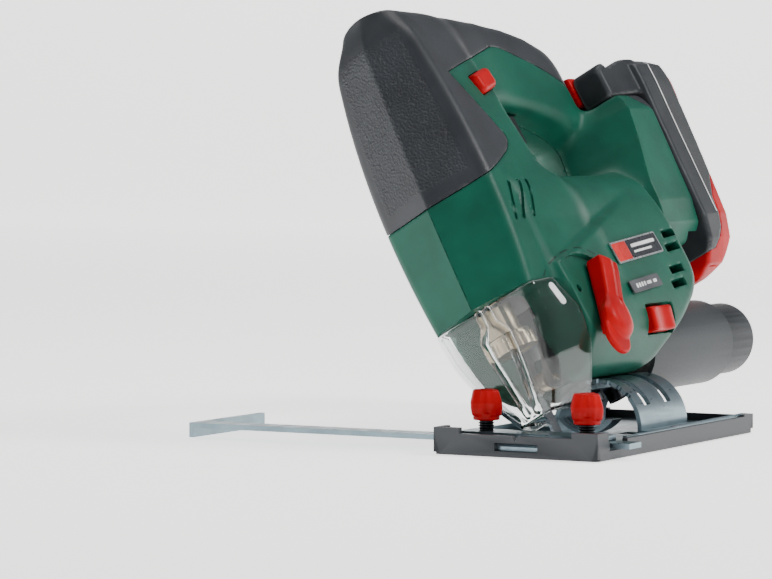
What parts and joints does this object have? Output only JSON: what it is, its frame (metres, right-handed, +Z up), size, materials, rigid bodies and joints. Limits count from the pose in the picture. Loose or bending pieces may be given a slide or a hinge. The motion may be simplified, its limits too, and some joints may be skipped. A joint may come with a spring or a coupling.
{
  "type": "cordless jigsaw",
  "caption": "Cordless jigsaw leaning on its bevel shoe, with rip fence, clear blade guard, dust adapter and slide-on battery pack.",
  "frame": {"origin": "middle of the sole face, on the line of cut", "axes": "+X to the machine's left, -Y the way it cuts, +Z up from the sole"},
  "size_m": [0.224, 0.271, 0.2016],
  "materials": {
    "green": "moulded plastic, fine spark-eroded texture",
    "charcoal": "moulded plastic, fine texture",
    "red": "moulded plastic, satin gloss",
    "black": "matt black plastic",
    "zinc": "blue-passivated zinc plate",
    "chromate": "yellow-passivated steel",
    "dark_steel": "black oxide",
    "steel": "ground steel",
    "aluminium": "die cast",
    "clear": "clear polycarbonate",
    "plate": "printed plate",
    "board": "circuit board",
    "winding": "wound armature"
  },
  "bodies": {
    "shoe": {"glide_shoe": "charcoal", "base_plate": "zinc", "fence_bridge": "zinc", "bevel_arch": "zinc", "chip_trough": "zinc"},
    "fence": {"fence_bar": "zinc"},
    "fence_screw_left": {"fence_stud_left": "dark_steel", "fence_knob_left": "red"},
    "fence_screw_right": {"fence_stud_right": "dark_steel", "fence_knob_right": "red"},
    "machine": {"housing_left": "green", "housing_right": "green", "top_cap": "charcoal", "housing_screws": "dark_steel", "brand_plate": "plate", "type_plate": "plate", "gear_frame": "aluminium", "motor_can": "steel", "fork_axle": "steel", "switch_module": "black", "control_board": "board", "tilt_clamp_plate": "zinc", "tilt_screws": "dark_steel", "guard": "clear", "battery_rails": "black"},
    "crank": {"crank_gear": "steel"},
    "rotor": {"motor_rotor": "winding", "motor_pinion": "steel", "cooling_fan": "black"},
    "plunger": {"plunger_rod": "steel", "blade_clamp": "chromate", "blade": "steel"},
    "collar": {"clamp_collar": "chromate"},
    "fork": {"roller_fork": "zinc"},
    "roller": {"guide_roller": "chromate"},
    "lever": {"orbital_lever": "red"},
    "blower": {"blower_switch": "red"},
    "lock": {"lock_off_button": "red"},
    "trigger_body": {"trigger": "black"},
    "adapter": {"dust_adapter": "charcoal"},
    "battery": {"battery_shell": "charcoal", "battery_cover": "red", "battery_cells": "green"},
    "battery_release": {"battery_button": "red"}
  },
  "joints": [
    {"name": "fence_slide", "type": "slide", "parent": "shoe", "child": "fence", "axis": [1, 0, 0], "range_m": [-0.07, 0.12]},
    {"name": "fence_screw_left_turn", "type": "hinge", "parent": "shoe", "child": "fence_screw_left", "pos_m": [0.0247, -0.062, 0.02], "axis": [0, 0, 1], "continuous": true},
    {"name": "fence_screw_right_turn", "type": "hinge", "parent": "shoe", "child": "fence_screw_right", "pos_m": [-0.0247, -0.062, 0.02], "axis": [0, 0, 1], "continuous": true},
    {"name": "bevel_tilt", "type": "hinge", "parent": "shoe", "child": "machine", "pos_m": [0, 0, 0.007], "axis": [0, 1, 0], "range_deg": [-15, 75]},
    {"name": "crank_spin", "type": "hinge", "parent": "machine", "child": "crank", "pos_m": [-0.0535, -0.02, 0.09967], "axis": [0, 1, 0], "continuous": true},
    {"name": "rotor_spin", "type": "hinge", "parent": "machine", "child": "rotor", "pos_m": [-0.04, 0.04, 0.07628], "axis": [0, 1, 0], "continuous": true},
    {"name": "plunger_stroke", "type": "slide", "parent": "machine", "child": "plunger", "axis": [-0.5, 0, 0.866], "range_m": [-0.01, 0.01]},
    {"name": "collar_twist", "type": "hinge", "parent": "plunger", "child": "collar", "pos_m": [-0.022, -0.04, 0.0451], "axis": [-0.5, 0, 0.866], "range_deg": [0, 60], "stiffness_Nm_per_rad": 0.02},
    {"name": "fork_swing", "type": "hinge", "parent": "machine", "child": "fork", "pos_m": [-0.0275, -0.017, 0.05463], "axis": [0.866, 0, 0.5], "range_deg": [0, 3], "stiffness_Nm_per_rad": 0.5, "springref_deg": -11.46},
    {"name": "roller_spin", "type": "hinge", "parent": "fork", "child": "roller", "pos_m": [-0.0125, -0.0306, 0.02865], "axis": [0.866, 0, 0.5], "continuous": true},
    {"name": "orbital_lever_turn", "type": "hinge", "parent": "machine", "child": "lever", "pos_m": [0.01491, -0.013, 0.05718], "axis": [0.866, 0, 0.5], "range_deg": [-10, 50]},
    {"name": "blower_slide", "type": "slide", "parent": "machine", "child": "blower", "axis": [0, 1, 0], "range_m": [0, 0.006]},
    {"name": "lock_off_push", "type": "slide", "parent": "machine", "child": "lock", "axis": [0.866, 0, 0.5], "range_m": [-0.003, 0.003], "stiffness_N_per_m": 400},
    {"name": "trigger_pull", "type": "slide", "parent": "machine", "child": "trigger_body", "axis": [-0.5, 0, 0.866], "range_m": [0, 0.006], "stiffness_N_per_m": 400, "springref_m": -0.001},
    {"name": "adapter_pull", "type": "slide", "parent": "machine", "child": "adapter", "axis": [0, 1, 0], "range_m": [0, 0.06]},
    {"name": "battery_slide", "type": "slide", "parent": "machine", "child": "battery", "axis": [-0.5, 0, 0.866], "range_m": [0, 0.11]},
    {"name": "battery_release_push", "type": "slide", "parent": "battery", "child": "battery_release", "axis": [0, 1, 0], "range_m": [0, 0.003], "stiffness_N_per_m": 400}
  ],
  "couplings": [
    {"joint": "crank_spin", "follows": "rotor_spin", "ratio": -0.2}
  ]
}
